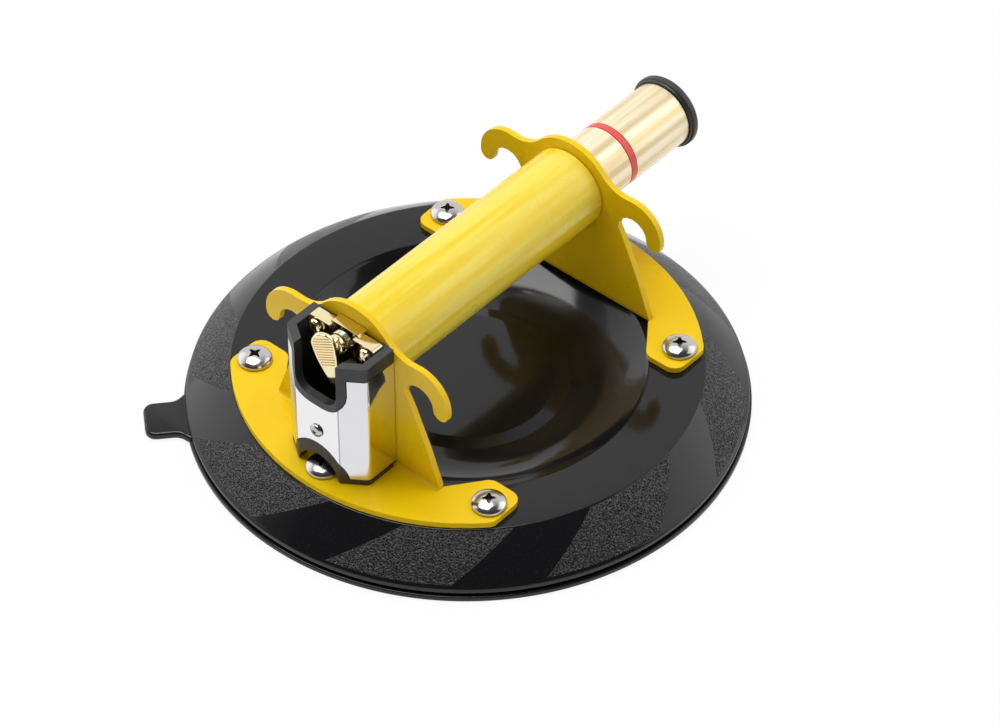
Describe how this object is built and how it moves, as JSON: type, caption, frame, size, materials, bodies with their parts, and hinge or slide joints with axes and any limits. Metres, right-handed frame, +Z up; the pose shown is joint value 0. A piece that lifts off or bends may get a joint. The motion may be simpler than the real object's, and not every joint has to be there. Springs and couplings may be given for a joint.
{
  "type": "pump suction cup",
  "caption": "Hand-held vacuum lifter: round rubber pad, tubular grip with a built-in hand pump, and a guarded release valve.",
  "frame": {"origin": "on the pad's sealing plane, below the middle of the whole object's box", "axes": "+X along the grip towards the pump plunger, +Z up from the pad, -X towards the release valve"},
  "size_m": [0.2126, 0.203, 0.0829],
  "materials": {
    "pad_rubber": "moulded black rubber, part leather-grained and part smooth",
    "seal_rubber": "soft black rubber",
    "ring_steel": "mild steel, moulded in",
    "yellow_coat": "semi-gloss yellow powder coat on steel",
    "brass": "polished brass",
    "pale_brass": "pale brushed brass",
    "polished_steel": "mirror-polished stainless sheet",
    "screw_steel": "polished steel",
    "spring_steel": "bright spring wire and strip",
    "black_plastic": "satin black plastic",
    "red_plastic": "red indicator ring"
  },
  "bodies": {
    "frame": {"rubber_pad": "pad_rubber", "pad_ring": "ring_steel", "valve_end_bracket": "yellow_coat", "plunger_end_bracket": "yellow_coat", "pad_screw_valve_left": "screw_steel", "pad_screw_valve_middle": "screw_steel", "pad_screw_valve_right": "screw_steel", "pad_screw_plunger_left": "screw_steel", "pad_screw_plunger_middle": "screw_steel", "pad_screw_plunger_right": "screw_steel", "grip_tube": "yellow_coat", "pump_barrel": "brass", "guide_bush": "black_plastic", "pump_spring": "spring_steel", "one_way_valve": "seal_rubber", "valve_body": "brass", "valve_screw_left": "brass", "valve_screw_right": "brass", "release_seal": "seal_rubber", "valve_spring": "spring_steel", "pad_fitting": "brass", "vacuum_hose": "seal_rubber", "hose_clip_lower": "spring_steel", "hose_clip_upper": "spring_steel", "guard_liner": "black_plastic", "guard_cover": "polished_steel", "guard_screw": "screw_steel"},
    "plunger": {"plunger_tube": "pale_brass", "indicator_band": "red_plastic", "plunger_cap": "black_plastic", "piston": "brass", "piston_seal": "seal_rubber"},
    "lever": {"release_lever": "brass", "valve_stem": "brass"}
  },
  "joints": [
    {"name": "pump_plunge", "type": "slide", "parent": "frame", "child": "plunger", "axis": [1, 0, 0], "range_m": [-0.047, 0], "stiffness_N_per_m": 150, "springref_m": 0.03, "deforming": ["pump_spring"]},
    {"name": "lever_tilt", "type": "hinge", "parent": "frame", "child": "lever", "pos_m": [-0.06385, 0, 0.0725], "axis": [0, -1, 0], "range_deg": [0, 7], "stiffness_Nm_per_rad": 0.1, "springref_deg": -5.73, "deforming": ["valve_spring"]}
  ]
}
